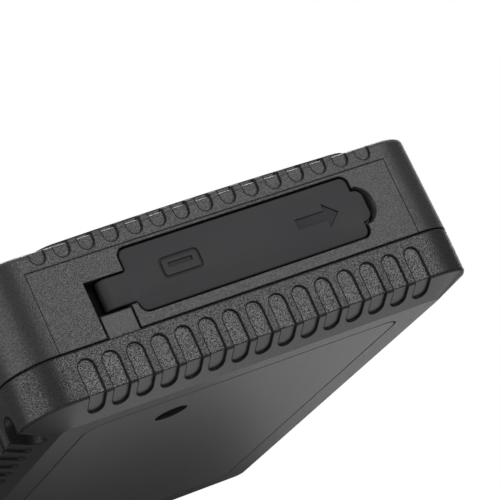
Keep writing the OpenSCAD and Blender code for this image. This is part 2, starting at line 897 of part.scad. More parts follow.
module key_switches() {
    color(black_plastic) for (i = [0:3])
        translate([key_x(i), key_y, upper_top]) difference() {
            translate([-switch_s / 2, -switch_s / 2, 0]) cube([switch_s, switch_s, switch_h]);
            translate([0, 0, -over]) cylinder(switch_h + 2 * over, r = stem_r + slip);
        }
}

// Circuit boards and what joins them
module upper_board() {
    upper_half = body_w / 2 - wall - upper_side_gap;
    color(board_colour) difference() {
        box_between([-upper_half, wall_in_y + upper_near_gap, upper_z],
                    [upper_half, -wall_in_y - upper_far_gap, upper_top]);
        at_posts() translate([0, 0, upper_z - over])
            cylinder(upper_t + 2 * over, r = post_r + fit);
    }
}

module main_board() {
    color(board_colour) difference() {
        box_between([-main_half, wall_in_y + main_near_gap, main_z],
                    [main_half, -wall_in_y - main_far_gap, main_top]);
        box_between([slot_x0 - anchor_grip - anchor_gap, wall_in_y, main_z - over],
                    [slot_x1 + anchor_grip + anchor_gap, anchor_y + anchor_gap, main_top + over]);
        at_posts() translate([0, 0, main_z - over])
            cylinder(main_t + 2 * over, r = screw_hole_r);
    }
}

module board_spacers() {
    color(metal_colour) at_posts() translate([0, 0, main_top]) difference() {
        cylinder(upper_z - main_top, r = post_r + fit + spacer_t);
        translate([0, 0, -over]) cylinder(upper_z - main_top + 2 * over, r = post_r + fit);
    }
}

module board_header() {
    header_y = post_y - header_from_post;
    color(black_plastic) box_between([-header_w / 2, header_y - header_l / 2, main_top],
                                     [header_w / 2, header_y + header_l / 2, upper_z]);
}

// Ports
module usb_a_shell() {
    color(metal_colour) difference() {
        upright(port_y, port_y + usb_a_l) usb_a_outline(0);
        upright(port_y - over, port_y + usb_a_l - port_sheet) usb_a_outline(-port_sheet);
    }
}

module usb_a_tongue() {
    back = port_y + usb_a_l - port_sheet;
    tongue_z = main_top + usb_a_h / 2 + usb_a_tongue_lift;
    color([0.92, 0.92, 0.90]) {
        upright(back - tongue_block, back) usb_a_outline(-port_sheet);
        box_between([usb_a_x - usb_a_tongue_w / 2, port_y + tongue_back, tongue_z],
                    [usb_a_x + usb_a_tongue_w / 2, back - fit, tongue_z + usb_a_tongue_t]);
    }
}

module usb_c_shell() {
    color(metal_colour) difference() {
        upright(port_y, port_y + usb_c_l) usb_c_outline(0);
        upright(port_y - over, port_y + usb_c_l - port_sheet) usb_c_outline(-port_sheet);
    }
}

module usb_c_tongue() {
    back = port_y + usb_c_l - port_sheet;
    tongue_z = main_top + (usb_c_h - usb_c_tongue_t) / 2;
    color(black_plastic) {
        upright(back - tongue_block, back) usb_c_outline(-port_sheet);
        box_between([usb_c_x - usb_c_tongue_w / 2, port_y + tongue_back, tongue_z],
                    [usb_c_x + usb_c_tongue_w / 2, back - fit, tongue_z + usb_c_tongue_t]);
    }
}

module micro_usb_shell() {
    color(metal_colour) difference() {
        upright(port_y, port_y + micro_l) micro_outline(0);
        upright(port_y - over, port_y + micro_l - port_sheet) micro_outline(-port_sheet);
    }
}

module micro_usb_tongue() {
    back = port_y + micro_l - port_sheet;
    tongue_z = main_top + micro_h - port_sheet - micro_tongue_gap - micro_tongue_t;
    color(black_plastic) {
        upright(back - tongue_block, back) micro_outline(-port_sheet);
        box_between([micro_x - micro_tongue_w / 2, port_y + tongue_back, tongue_z],
                    [micro_x + micro_tongue_w / 2, back - fit, tongue_z + micro_tongue_t]);
    }
}

// Parts on the main board
module on_board(x, from_end) {
    translate([x, end_y + from_end, main_top]) children();
}

module shunt_resistor() {
    color([0.55, 0.45, 0.32]) on_board(shunt_x, shunt_from_end) linear_extrude(shunt_h)
        rounded_rect(shunt_w, shunt_l, shunt_r);
}

module power_inductor() {
    color([0.25, 0.25, 0.26]) on_board(inductor_x, inductor_from_end) linear_extrude(inductor_h)
        rounded_rect(inductor_s, inductor_s, inductor_r);
}

module controller_chip() {
    color(black_plastic) on_board(chip_x, chip_from_end) linear_extrude(chip_h)
        rounded_rect(chip_s, chip_s, chip_r);
}

module capacitors() {
    first_x = capacitor_x - capacitor_pitch * (capacitor_count - 1) / 2;
    color([0.70, 0.70, 0.72]) for (i = [0:capacitor_count - 1])
        on_board(first_x + capacitor_pitch * i, capacitor_from_end)
            cylinder(capacitor_h, r = capacitor_r);
}

module buzzer() {
    color(black_plastic) on_board(buzzer_x, buzzer_from_end) difference() {
        cylinder(buzzer_h, r = buzzer_r);
        translate([0, 0, buzzer_h - buzzer_hole_depth])
            cylinder(buzzer_hole_depth + over, r = buzzer_hole_r);
    }
}

// Battery under the rear cover
module battery_pack() {
    color([0.25, 0.35, 0.55]) translate([0, battery_y, cover_t]) linear_extrude(battery_h)
        rounded_rect(battery_w, battery_l, battery_r);
}

module battery_contacts() {
    color(black_plastic) box_between(
        [-contact_w / 2, contact_y - contact_l / 2, cover_t + battery_h],
        [contact_w / 2, contact_y + contact_l / 2, main_z]);
}

front_shell();
rear_shell();
rear_cover();
cover_screw();
case_screws();
port_flap();
flap_anchor();
display_window();
display_module();
display_frame();
key_power();
key_previous();
key_next();
key_enter();
key_switches();
upper_board();
main_board();
board_spacers();
board_header();
usb_a_shell();
usb_a_tongue();
usb_c_shell();
usb_c_tongue();
micro_usb_shell();
micro_usb_tongue();
shunt_resistor();
power_inductor();
controller_chip();
capacitors();
buzzer();
battery_pack();
battery_contacts();
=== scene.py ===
import json
import math

import bmesh
import bpy
from mathutils import Matrix, Vector


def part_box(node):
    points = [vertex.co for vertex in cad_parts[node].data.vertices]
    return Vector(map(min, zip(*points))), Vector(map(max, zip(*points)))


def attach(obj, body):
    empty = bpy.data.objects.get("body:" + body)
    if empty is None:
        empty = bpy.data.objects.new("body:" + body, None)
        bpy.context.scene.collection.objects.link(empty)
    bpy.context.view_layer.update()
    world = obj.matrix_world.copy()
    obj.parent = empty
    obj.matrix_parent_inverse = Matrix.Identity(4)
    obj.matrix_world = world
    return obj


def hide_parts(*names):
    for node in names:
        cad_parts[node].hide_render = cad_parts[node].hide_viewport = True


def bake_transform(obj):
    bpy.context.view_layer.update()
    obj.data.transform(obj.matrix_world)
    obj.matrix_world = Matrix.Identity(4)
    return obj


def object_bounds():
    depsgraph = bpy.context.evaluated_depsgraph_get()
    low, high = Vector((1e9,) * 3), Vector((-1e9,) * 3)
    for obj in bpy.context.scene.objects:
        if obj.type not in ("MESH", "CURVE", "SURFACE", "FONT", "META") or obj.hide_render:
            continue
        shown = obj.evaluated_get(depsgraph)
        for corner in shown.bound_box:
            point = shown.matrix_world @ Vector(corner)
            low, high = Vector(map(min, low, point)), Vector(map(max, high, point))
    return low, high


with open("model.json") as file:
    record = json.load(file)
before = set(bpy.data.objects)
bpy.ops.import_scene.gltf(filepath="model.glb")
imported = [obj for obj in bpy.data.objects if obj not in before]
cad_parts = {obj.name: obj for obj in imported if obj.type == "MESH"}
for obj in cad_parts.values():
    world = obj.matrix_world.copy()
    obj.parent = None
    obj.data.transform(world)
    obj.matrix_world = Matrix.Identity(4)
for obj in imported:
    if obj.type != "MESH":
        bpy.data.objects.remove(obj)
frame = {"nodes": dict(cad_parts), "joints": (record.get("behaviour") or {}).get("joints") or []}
cad_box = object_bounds()
nodes = frame["nodes"]
scene = bpy.context.scene
scene.view_settings.view_transform = "Standard"
MM = 0.001

# Camera, as the photograph was taken: from below the rear face, rolled to the left
CAMERA_TARGET = Vector((4.38, -66.5, 19.15)) * MM
CAMERA_DISTANCE = 497.0 * MM
CAMERA_AZIMUTH = math.radians(-26.5)
CAMERA_ELEVATION = math.radians(-12.335)
CAMERA_ROLL = math.radians(-24.53)
CAMERA_LENS = 193.0
CAMERA_NEAR = 10 * MM

# Floor, in metres, which fades to the white background away from the part
FLOOR_HALF = 3.0
FLOOR_DROP = 0.1 * MM
FLOOR_COLOUR = (0.50, 0.50, 0.50, 1)
FLOOR_SHINE = 0.42
FLOOR_FADE_FROM = 0.2
FLOOR_FADE_TO = 0.75

# World: a plain soft light, and a studio for reflections, which is bright above, dark to the sides and pale below
AMBIENT_LIGHT = 0.4
STUDIO_DARK = 0.01
CEILING_FROM = 0.1
CEILING_FULL = 0.9
GROUND_FROM = -0.2
GROUND_FULL = -0.8
GROUND_GLOW = 0.2
DEEP_GLOW = 1.0

# Noise and masks in materials; the gap masks place painted shade
NOISE_TURN = (0.5, 0.7, 0.3)
NOISE_LOW = 0.3
NOISE_HIGH = 0.7
MASK_FADE = 0.1 * MM
GAP_REACH = 0.4 * MM
EDGE_SAMPLES = 4
GAP_SAMPLES = 8

# Spark-eroded plastic of the housing
SPECKLE_SIZE = 0.20 * MM
SPECKLE_LOW = 0.38
SPECKLE_HIGH = 0.62
SPECKLE_HEIGHT = 0.035 * MM
SHELL_PATCH = 14 * MM
SHELL_EDGE = 0.3 * MM
DOWN_FACE = -0.95
SIDE_FACE = -0.2
DOWN_GRAIN = 0.25
TONGUE_GRAIN = 0.3
SMOOTH_ROUGHNESS = 0.34
WORN_MIDDLE = 0.41
WORN_SPREAD = 0.2
# Painted shade in gaps and along the grooves' rims
SUNK_SHADE = 0.1
RIM_REACH = 0.3 * MM
RIM_CLOSED = 0.74
RIM_OPEN = 0.95
RIM_SHADE = 0.85

# Other surfaces
MOULD_PATCH = 9 * MM
MOULD_EDGE = 0.15 * MM
DRAWN_STRETCH = (1.0, 0.06, 1.0)
DRAWN_SIZE = 0.15 * MM
DRAWN_HEIGHT = 0.004 * MM
METAL_PATCH = 5 * MM
TRACK_PITCH = 3.2 * MM
TRACK_HEIGHT = 0.03 * MM
BOARD_PATCH = 2 * MM
DOT_PITCH = 0.18 * MM
DOT_GAP = 0.02 * MM
DISPLAY_PATCH = 20 * MM
PANE_SMEAR = 11 * MM
PRINT_OVER = 1.5 * MM
PRINT_BLUR = 0.03 * MM

# Places on the housing that its materials follow
PARTING_Z = 12.0 * MM
FRONT_GROOVES_Z = 27.9 * MM
REAR_GROOVES_TOP = 11.0 * MM
REAR_GROOVES_FADE = 0.5 * MM
END_ROW_REACH = 38.5 * MM
SIDE_ROW_REACH = 50.0 * MM
GROOVE_DEPTH = 0.4 * MM
GROOVE_NEAR = 0.05 * MM
GROOVE_OFF = 0.15 * MM

# Meshes
LEVEL_NEAR = 1e-9
ROOT_NEAR = 1e-7
SLICE_NEAR = 1e-8
SMOOTH_ANGLE = math.radians(40)
SOFT_STEPS = 3
ARC_STEPS = 16
CORNER_STEPS = 6

# Rubber flap, in millimetres
PANEL_LEFT = -20.25
PANEL_RIGHT = 29.15
PANEL_R = 1.5
ROOT_R = 0.6
LUG_RIGHT = 31.2
LUG_LOW = 17.4
LUG_TOP = 23.9
LUG_R = 1.7
LUG_ROOT = 4
STRAP_LOW = 16.875
STRAP_TOP = 22.825
STRAP_T = 1.496
STRAP_TURN = 0.95
STRAP_CUTS = 14
BEND_STEPS = 8
FLAP_T = 1.5
FLAP_SOFT = 0.28
NECK_END_Y = -63.4
BUNG_L = 1.5
BUNG_ROOT = 0.4
BUNG_SOFT = 0.3
MARK_DEPTH = 0.25
MARK_NEAR = 0.01
CUT_OVER = 1

# Key signs and contact leaves, in millimetres
MARK_PRINT = 0.04
CONTACT_FRONT = -62.2
LEAF_RISE = 0.4
LEAF_CREST = 0.9
LEAF_FALL = 1.6


def node(material, kind, inputs=None, **settings):
    """Adds a shader node; an input is given a value or another node's output."""
    made = material.node_tree.nodes.new("ShaderNode" + kind)
    for name, value in settings.items():
        setattr(made, name, value)
    for name, value in (inputs or {}).items():
        if isinstance(value, bpy.types.NodeSocket):
            material.node_tree.links.new(value, made.inputs[name])
        else:
            made.inputs[name].default_value = value
    return made


def new_material(name):
    material = bpy.data.materials.new(name)
    material.use_nodes = True
    material.node_tree.nodes.clear()
    return material


def finish_material(material, surface):
    output = material.node_tree.nodes.new("ShaderNodeOutputMaterial")
    material.node_tree.links.new(surface, output.inputs["Surface"])
    return material


def noise(material, size, detail=3.0):
    """Noise with lumps of about size metres, fixed to the piece, and turned so that no wall lies along its grid."""
    place = node(material, "TexCoord").outputs["Object"]
    turned = node(material, "Mapping", {"Vector": place, "Rotation": NOISE_TURN}).outputs[0]
    return node(material, "TexNoise", {"Vector": turned, "Scale": 1 / size, "Detail": detail}).outputs["Fac"]


def ranged(material, value, from_low, from_high, low, high):
    return node(material, "MapRange", {
        "Value": value, "From Min": from_low, "From Max": from_high, "To Min": low, "To Max": high,
    }).outputs["Result"]


def spread(material, value, low, high):
    """Maps a noise value to a range."""
    return ranged(material, value, NOISE_LOW, NOISE_HIGH, low, high)


def times(material, *values):
    total = values[0]
    for value in values[1:]:
        total = node(material, "Math", {0: total, 1: value}, operation="MULTIPLY").outputs[0]
    return total


def tinted(material, colour, shade):
    return node(material, "VectorMath", {0: colour, "Scale": shade}, operation="SCALE").outputs[0]


def blended(material, factor, low, high):
    return node(material, "Mix", {"Factor": factor, "A": low, "B": high}).outputs[0]


def painted_shade_mask(material, reach, closed=0.5, open_from=0.9, inside=False):
    """Mask for painted shade: 1 deep in a groove or gap, 0 on open faces; inside, 1 along an outer edge."""
    share = node(material, "AmbientOcclusion", {"Distance": reach}, samples=GAP_SAMPLES, inside=inside).outputs["AO"]
    return ranged(material, share, closed, open_from, 1.0, 0.0)


def height_of(material):
    return node(material, "SeparateXYZ", {0: node(material, "TexCoord").outputs["Object"]}).outputs["Z"]


def groove_floors(material):
    """1 on the floors of the rear grip grooves, which lie a groove's depth inside the walls."""
    place = node(material, "SeparateXYZ", {0: node(material, "TexCoord").outputs["Object"]})
    across, along, up = (node(material, "Math", {0: place.outputs[axis]}, operation="ABSOLUTE").outputs[0]
                         for axis in "XYZ")
    side_x, end_y = cad_box[1][0], cad_box[1][1]
    found = []
    rows = (along, across, end_y, END_ROW_REACH), (across, along, side_x, SIDE_ROW_REACH)
    for inward, sideways, wall, reach in rows:
        floor = wall - GROOVE_DEPTH
        found.append(times(
            material, ranged(material, inward, floor + GROOVE_OFF, floor + GROOVE_NEAR, 0.0, 1.0),
            ranged(material, inward, floor - GROOVE_OFF, floor - GROOVE_NEAR, 0.0, 1.0),
            ranged(material, sideways, reach + MASK_FADE, reach, 0.0, 1.0)))
    floors = node(material, "Math", {0: found[0], 1: found[1]}, operation="MAXIMUM").outputs[0]
    top = ranged(material, up, REAR_GROOVES_TOP + REAR_GROOVES_FADE, REAR_GROOVES_TOP, 0.0, 1.0)
    return times(material, floors, top)


def painted_rim_shade(material, lowest):
    """Painted shade along the sharp rims of the grooves, above a height where one is given."""
    rims = times(material, painted_shade_mask(material, RIM_REACH, RIM_CLOSED, RIM_OPEN, inside=True), RIM_SHADE)
    if lowest is None:
        return rims
    return times(material, rims, ranged(material, height_of(material), lowest, lowest + MASK_FADE, 0.0, 1.0))


def spark_grain(name, colour, grain, gaps, floor_shade=1.0, smooth_from=None, rims_from=None):
    """Spark-eroded plastic: speckled on the walls, finer on the rear, with painted shade in gaps and along the
    grooves' rims.
    """
    material = new_material(name)
    speckle = noise(material, SPECKLE_SIZE, 0.0)
    patches = noise(material, SHELL_PATCH)
    level = node(material, "SeparateXYZ", {0: node(material, "NewGeometry").outputs["Normal"]}).outputs["Z"]
    coarse = ranged(material, level, DOWN_FACE, SIDE_FACE, DOWN_GRAIN, 1.0)
    if smooth_from:
        smooth = ranged(material, height_of(material), smooth_from, smooth_from + MASK_FADE, 1.0, TONGUE_GRAIN)
        coarse = times(material, coarse, smooth)
    # Painted shade: darker colour and full roughness in gaps and along the grooves' rims
    sunk = node(material, "Math", {
        0: painted_shade_mask(material, *gaps), 1: painted_rim_shade(material, rims_from),
    }, operation="MAXIMUM").outputs[0]
    pits = ranged(material, speckle, SPECKLE_LOW, SPECKLE_HIGH, -grain, grain)
    speckled = node(material, "Math", {0: times(material, pits, coarse), 1: 1.0}, operation="ADD").outputs[0]
    shade = times(material, speckled, spread(material, patches, 0.96, 1.04), blended(material, sunk, 1.0, SUNK_SHADE),
                  blended(material, groove_floors(material), 1.0, floor_shade))
    worn = ranged(material, speckle, SPECKLE_LOW, SPECKLE_HIGH,
                  WORN_MIDDLE + WORN_SPREAD * grain, WORN_MIDDLE - WORN_SPREAD * grain)
    soft_edge = node(material, "Bevel", {"Radius": SHELL_EDGE}, samples=EDGE_SAMPLES).outputs[0]
    bump = node(material, "Bump", {
        "Strength": coarse, "Distance": SPECKLE_HEIGHT, "Height": speckle, "Normal": soft_edge,
    }).outputs[0]
    surface = node(material, "BsdfPrincipled", {
        "Base Color": tinted(material, colour, shade),
        "Roughness": blended(material, sunk, blended(material, coarse, SMOOTH_ROUGHNESS, worn), 1.0),
        "Normal": bump,
    })
    return finish_material(material, surface.outputs[0])


def moulded(name, colour, roughness, grain=0.35 * MM, grain_height=0.01 * MM, gloss=0.5):
    """Fine-grained surface with a slightly uneven colour and soft edges, and painted shade in its gaps."""
    material = new_material(name)
    grain_value = noise(material, grain, 4.0)
    patches = noise(material, MOULD_PATCH)
    # Painted shade in the gaps
    sunk = painted_shade_mask(material, GAP_REACH)
    shade = times(material, spread(material, grain_value, 0.9, 1.1), spread(material, patches, 0.94, 1.06),
                  blended(material, sunk, 1.0, 0.3))
    soft_edge = node(material, "Bevel", {"Radius": MOULD_EDGE}, samples=EDGE_SAMPLES).outputs[0]
    bump = node(material, "Bump", {
        "Strength": 1.0, "Distance": grain_height, "Height": grain_value, "Normal": soft_edge,
    }).outputs[0]
    worn = spread(material, patches, roughness - 0.05, roughness + 0.05)
    surface = node(material, "BsdfPrincipled", {
        "Base Color": tinted(material, colour, shade), "Roughness": worn,
        "Specular IOR Level": gloss, "Normal": bump,
    })
    return finish_material(material, surface.outputs[0])


def brushed(name, colour, roughness):
    """Metal with fine drawing marks along its length, a few dull patches and painted shade in its gaps."""
    material = new_material(name)
    place = node(material, "TexCoord").outputs["Object"]
    along = node(material, "Mapping", {"Vector": place, "Scale": DRAWN_STRETCH}).outputs[0]
    marks = node(material, "TexNoise", {"Vector": along, "Scale": 1 / DRAWN_SIZE, "Detail": 3.0}).outputs["Fac"]
    patches = noise(material, METAL_PATCH)
    # Painted shade in the gaps
    sunk = painted_shade_mask(material, GAP_REACH)
    shade = times(material, spread(material, marks, 0.88, 1.08), blended(material, sunk, 1.0, 0.35))
    dull = node(material, "Math", {
        0: spread(material, marks, roughness - 0.06, roughness + 0.06), 1: spread(material, patches, 0.0, 0.08),
    }, operation="ADD").outputs[0]
    bump = node(material, "Bump", {"Strength": 0.6, "Distance": DRAWN_HEIGHT, "Height": marks}).outputs[0]
    surface = node(material, "BsdfPrincipled", {
        "Base Color": tinted(material, colour, shade), "Roughness": dull, "Metallic": 1.0, "Normal": bump,
    })
    return finish_material(material, surface.outputs[0])


def solder_mask(name, colour, track_colour):
    """Board lacquer over copper tracks."""
    material = new_material(name)
    place = node(material, "TexCoord").outputs["Object"]
    tracks = node(material, "TexVoronoi", {"Vector": place, "Scale": 1 / TRACK_PITCH},
                  distance="CHEBYCHEV").outputs["Distance"]
    copper = ranged(material, tracks, 0.36, 0.40, 0.0, 1.0)
    patches = noise(material, BOARD_PATCH)
    shade = spread(material, patches, 0.85, 1.15)
    surface = node(material, "BsdfPrincipled", {
        "Base Color": node(material, "Mix", {
            "Factor": copper, 6: tinted(material, colour, shade), 7: (*track_colour, 1.0),
        }, data_type="RGBA").outputs[2],
        "Roughness": spread(material, patches, 0.28, 0.4),
        "Normal": node(material, "Bump", {"Strength": 0.8, "Distance": TRACK_HEIGHT, "Height": copper}).outputs[0],
    })
    return finish_material(material, surface.outputs[0])


def window_pane(name):
    """Smoked clear pane with a black print round its edge."""
    material = new_material(name)
    place = node(material, "SeparateXYZ", {0: node(material, "TexCoord").outputs["Object"]})
    low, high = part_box("display_module")
    middle, half = (low + high) / 2, (high - low) / 2
    outside = []
    for axis, at, reach in (("X", middle.x, half.x), ("Y", middle.y, half.y)):
        off = node(material, "Math", {0: place.outputs[axis], 1: at}, operation="SUBTRACT").outputs[0]
        span = node(material, "Math", {0: off}, operation="ABSOLUTE").outputs[0]
        outside.append(node(material, "Math", {0: span, 1: reach - PRINT_OVER}, operation="SUBTRACT").outputs[0])
    edge = node(material, "Math", {0: outside[0], 1: outside[1]}, operation="MAXIMUM").outputs[0]
    printed = ranged(material, edge, -PRINT_BLUR, PRINT_BLUR, 0.0, 1.0)
    smears = noise(material, PANE_SMEAR)
    surface = node(material, "BsdfPrincipled", {
        "Base Color": node(material, "Mix", {
            "Factor": printed, 6: (0.15, 0.155, 0.165, 1.0), 7: (0.006, 0.006, 0.007, 1.0),
        }, data_type="RGBA").outputs[2],
        "Roughness": spread(material, smears, 0.04, 0.09),
        "Transmission Weight": ranged(material, printed, 0.0, 1.0, 0.9, 0.0),
    })
    return finish_material(material, surface.outputs[0])


def dark_panel(name, colour):
    """Unlit display with its fine rows of dots."""
    material = new_material(name)
    place = node(material, "TexCoord").outputs["Object"]
    dots = node(material, "TexBrick", {
        "Vector": place, "Scale": 1.0, "Mortar Size": DOT_GAP, "Brick Width": DOT_PITCH, "Row Height": DOT_PITCH,
        "Color1": (1.0, 1.0, 1.0, 1.0), "Color2": (0.9, 0.9, 0.9, 1.0), "Mortar": (0.6, 0.6, 0.6, 1.0),
    }, offset=0.0).outputs["Color"]
    patches = noise(material, DISPLAY_PATCH)
    surface = node(material, "BsdfPrincipled", {
        "Base Color": node(material, "VectorMath", {
            0: dots, 1: tinted(material, colour, spread(material, patches, 0.9, 1.1)),
        }, operation="MULTIPLY").outputs[0],
        "Roughness": spread(material, patches, 0.14, 0.2),
    })
    return finish_material(material, surface.outputs[0])


SHELL = spark_grain("shell_plastic", (0.023, 0.023, 0.024), grain=0.5, gaps=(0.5 * MM, 0.25, 0.8),
                    rims_from=FRONT_GROOVES_Z)
REAR_SHELL = spark_grain("rear_shell_plastic", (0.014, 0.014, 0.0155), grain=0.98, gaps=(0.25 * MM, 0.5, 0.85),
                         floor_shade=2.8, smooth_from=PARTING_Z)
RUBBER = moulded("flap_rubber", (0.0325, 0.032, 0.035), 0.62, 0.22 * MM, 0.008 * MM, gloss=0.3)
# Near-black rubber of the strap's anchor inside the slot: painted shade that makes the slot look black
SHADE_BLACK_ANCHOR = moulded("anchor_painted_shade_black", (0.006, 0.006, 0.0065), 0.85, gloss=0.1)
# Darker copy of the flap rubber for the floors of the sunk marks: the darker colour is painted shade
SHADED_SUNK_RUBBER = moulded("sunk_rubber_painted_shade", (0.0285, 0.028, 0.031), 0.68, 0.22 * MM, 0.008 * MM, gloss=0.3)
KEY = moulded("key_plastic", (0.045, 0.045, 0.048), 0.48, 0.2 * MM, 0.008 * MM)
BLACK = moulded("black_plastic", (0.020, 0.020, 0.022), 0.5)
WHITE = moulded("white_plastic", (0.78, 0.78, 0.75), 0.45, 0.25 * MM, 0.004 * MM)
PRINT = moulded("key_print", (0.62, 0.62, 0.60), 0.6, 0.15 * MM, 0.004 * MM)
FERRITE = moulded("ferrite", (0.075, 0.075, 0.080), 0.6, 0.3 * MM, 0.02 * MM)
SHUNT = moulded("shunt_coat", (0.24, 0.17, 0.11), 0.4, 0.5 * MM, 0.01 * MM)
WRAP = moulded("battery_film", (0.05, 0.11, 0.27), 0.28, 2.0 * MM, 0.04 * MM)
PORT_STEEL = brushed("port_steel", (0.62, 0.62, 0.63), 0.26)
FRAME_STEEL = brushed("frame_steel", (0.55, 0.55, 0.56), 0.34)
SCREW_STEEL = brushed("screw_steel", (0.20, 0.20, 0.21), 0.36)
BRASS = brushed("brass", (0.72, 0.54, 0.26), 0.28)
GOLD = brushed("gold_plate", (0.86, 0.66, 0.30), 0.22)
ALUMINIUM = brushed("can_aluminium", (0.72, 0.72, 0.74), 0.3)

LOOKS = {
    SHELL: ["front_shell", "rear_cover"],
    REAR_SHELL: ["rear_shell"],
    RUBBER: ["port_flap"],
    SHADE_BLACK_ANCHOR: ["flap_anchor"],
    KEY: ["key_power", "key_previous", "key_next", "key_enter"],
    BLACK: ["key_switches", "board_header", "usb_c_tongue", "micro_usb_tongue", "controller_chip", "buzzer"],
    WHITE: ["usb_a_tongue"],
    FERRITE: ["power_inductor"],
    SHUNT: ["shunt_resistor"],
    WRAP: ["battery_pack"],
    PORT_STEEL: ["usb_a_shell", "usb_c_shell", "micro_usb_shell"],
    FRAME_STEEL: ["display_frame", "battery_contacts"],
    SCREW_STEEL: ["cover_screw", "case_screws"],
    BRASS: ["board_spacers"],
    ALUMINIUM: ["capacitors"],
    solder_mask("solder_mask", (0.012, 0.075, 0.040), (0.03, 0.14, 0.07)): ["upper_board", "main_board"],
    window_pane("window_pane"): ["display_window"],
    dark_panel("display_glass", (0.014, 0.016, 0.020)): ["display_module"],
}
dressed = {name: look for look, names in LOOKS.items() for name in names}
for name, piece in nodes.items():
    piece.data.materials.clear()
    piece.data.materials.append(dressed[name])


def fillet(points, radius):
    """Rounds each corner of a closed outline, by one radius or by one for each corner."""
    outline = []
    radii = radius if isinstance(radius, list) else [radius] * len(points)
    for i, (point, radius) in enumerate(zip(points, radii)):
        corner = Vector(point)
        if not radius:
            outline.append(corner)
            continue
        to_last = (Vector(points[i - 1]) - corner).normalized()
        to_next = (Vector(points[(i + 1) % len(points)]) - corner).normalized()
        half = to_last.angle(to_next) / 2
        centre = corner + (to_last + to_next).normalized() * radius / math.sin(half)
        first = corner + to_last * radius / math.tan(half) - centre
        last = corner + to_next * radius / math.tan(half) - centre
        turn = first.angle_signed(last)
        for step in range(CORNER_STEPS + 1):
            outline.append(centre + Matrix.Rotation(-turn * step / CORNER_STEPS, 2) @ first)
    return outline


def on_wall(u, v, h):
    """Outline in X and Z, set out along Y."""
    return Vector((u, h, v)) * MM


def on_face(u, v, h):
    """Outline in X and Y, set out along Z."""
    return Vector((u, v, h)) * MM


def on_side(u, v, h):
    """Outline in Y and Z, set out along X."""
    return Vector((h, u, v)) * MM


def prism(name, outline, low, high, place, soft=0.0, sharp_x=None):
    """Solid between two heights over an outline in millimetres, its ends' edges rounded, but not those at sharp_x."""
    mesh = bmesh.new()
    base = mesh.faces.new([mesh.verts.new(place(u, v, low)) for u, v in outline])
    rise = place(0, 0, high) - place(0, 0, low)
    extruded = bmesh.ops.extrude_face_region(mesh, geom=[base])["geom"]
    moved = [e for e in extruded if isinstance(e, bmesh.types.BMVert)]
    bmesh.ops.translate(mesh, verts=moved, vec=rise)
    bmesh.ops.recalc_face_normals(mesh, faces=mesh.faces)
    if soft:
        along = rise.normalized()
        rims = [e for e in mesh.edges if abs((e.verts[0].co - e.verts[1].co).dot(along)) < LEVEL_NEAR]
        if sharp_x is not None:
            rims = [e for e in rims if max(v.co.x for v in e.verts) > sharp_x * MM + ROOT_NEAR]
        bmesh.ops.bevel(mesh, geom=rims, offset=soft * MM, segments=SOFT_STEPS, profile=0.5, affect="EDGES")
    data = bpy.data.meshes.new(name)
    mesh.to_mesh(data)
    mesh.free()
    made = bpy.data.objects.new(name, data)
    scene.collection.objects.link(made)
    return made


def combine(piece, tool, operation):
    """Adds a solid to a piece or cuts it out, and deletes the tool."""
    step = piece.modifiers.new("combine", "BOOLEAN")
    step.object = tool
    step.operation = operation
    step.solver = "EXACT"
    graph = bpy.context.evaluated_depsgraph_get()
    data = bpy.data.meshes.new_from_object(piece.evaluated_get(graph))
    piece.modifiers.clear()
    piece.data = data
    bpy.data.objects.remove(tool)


def rectangle(x0, z0, x1, z1):
    return [(x0, z0), (x1, z0), (x1, z1), (x0, z1)]


def panel_outline(low, top, root_x):
    """Panel with the root of its strap on the left."""
    corners = [(PANEL_LEFT, low), (PANEL_RIGHT, low), (PANEL_RIGHT, top), (PANEL_LEFT, top),
               (PANEL_LEFT, STRAP_TOP), (root_x, STRAP_TOP), (root_x, STRAP_LOW), (PANEL_LEFT, STRAP_LOW)]
    return fillet(corners, [PANEL_R, PANEL_R, PANEL_R, PANEL_R, ROOT_R, 0, 0, ROOT_R])


def strap_outline(hinge_x, hinge_y):
    """Strap seen from the front face: along the wall, round a bend and straight in to its anchor."""
    half = STRAP_T / 2
    centre = Vector((hinge_x + STRAP_TURN, hinge_y + STRAP_TURN))
    bend = [Vector((math.cos(a), math.sin(a))) for a in
            (math.radians(270 - 90 * i / BEND_STEPS) for i in range(BEND_STEPS + 1))]
    outer = [centre + d * (STRAP_TURN + half) for d in bend]
    inner = [centre + d * (STRAP_TURN - half) for d in reversed(bend)]
    joined_x = centre.x + FLAP_SOFT * 2
    return ([Vector((joined_x, hinge_y - half))] + outer
            + [Vector((hinge_x - half, NECK_END_Y)), Vector((hinge_x + half, NECK_END_Y))]
            + inner + [Vector((joined_x, hinge_y + half))])


# Signs sunk in the flap and plugs behind it, in X and Z
ARROW = [(15.7, 20.0), (22.1, 20.0), (22.1, 18.35), (25.0, 20.95), (22.1, 23.4), (22.1, 22.0), (15.7, 22.0)]
SOCKET_RIM = fillet(rectangle(-13.6, 19.0, -5.1, 23.2), 1.0)
SOCKET_WELL = fillet(rectangle(-13.05, 19.55, -5.65, 22.65), 0.5)
SOCKET_BAR = fillet(rectangle(-11.9, 21.0, -6.8, 21.9), 0.2)
MICRO_PLUG = [(-12.3, 18.3), (-8.7, 18.3), (-7.6, 19.1), (-7.6, 19.6), (-13.4, 19.6), (-13.4, 19.1)]
BUNGS = {
    "usb_a": fillet(rectangle(12.75, 18.3, 24.25, 22.9), 0.6),
    "usb_c": fillet(rectangle(-0.15, 18.32, 7.15, 19.94), 0.8),
    "micro_usb": fillet(MICRO_PLUG, 0.2),
}


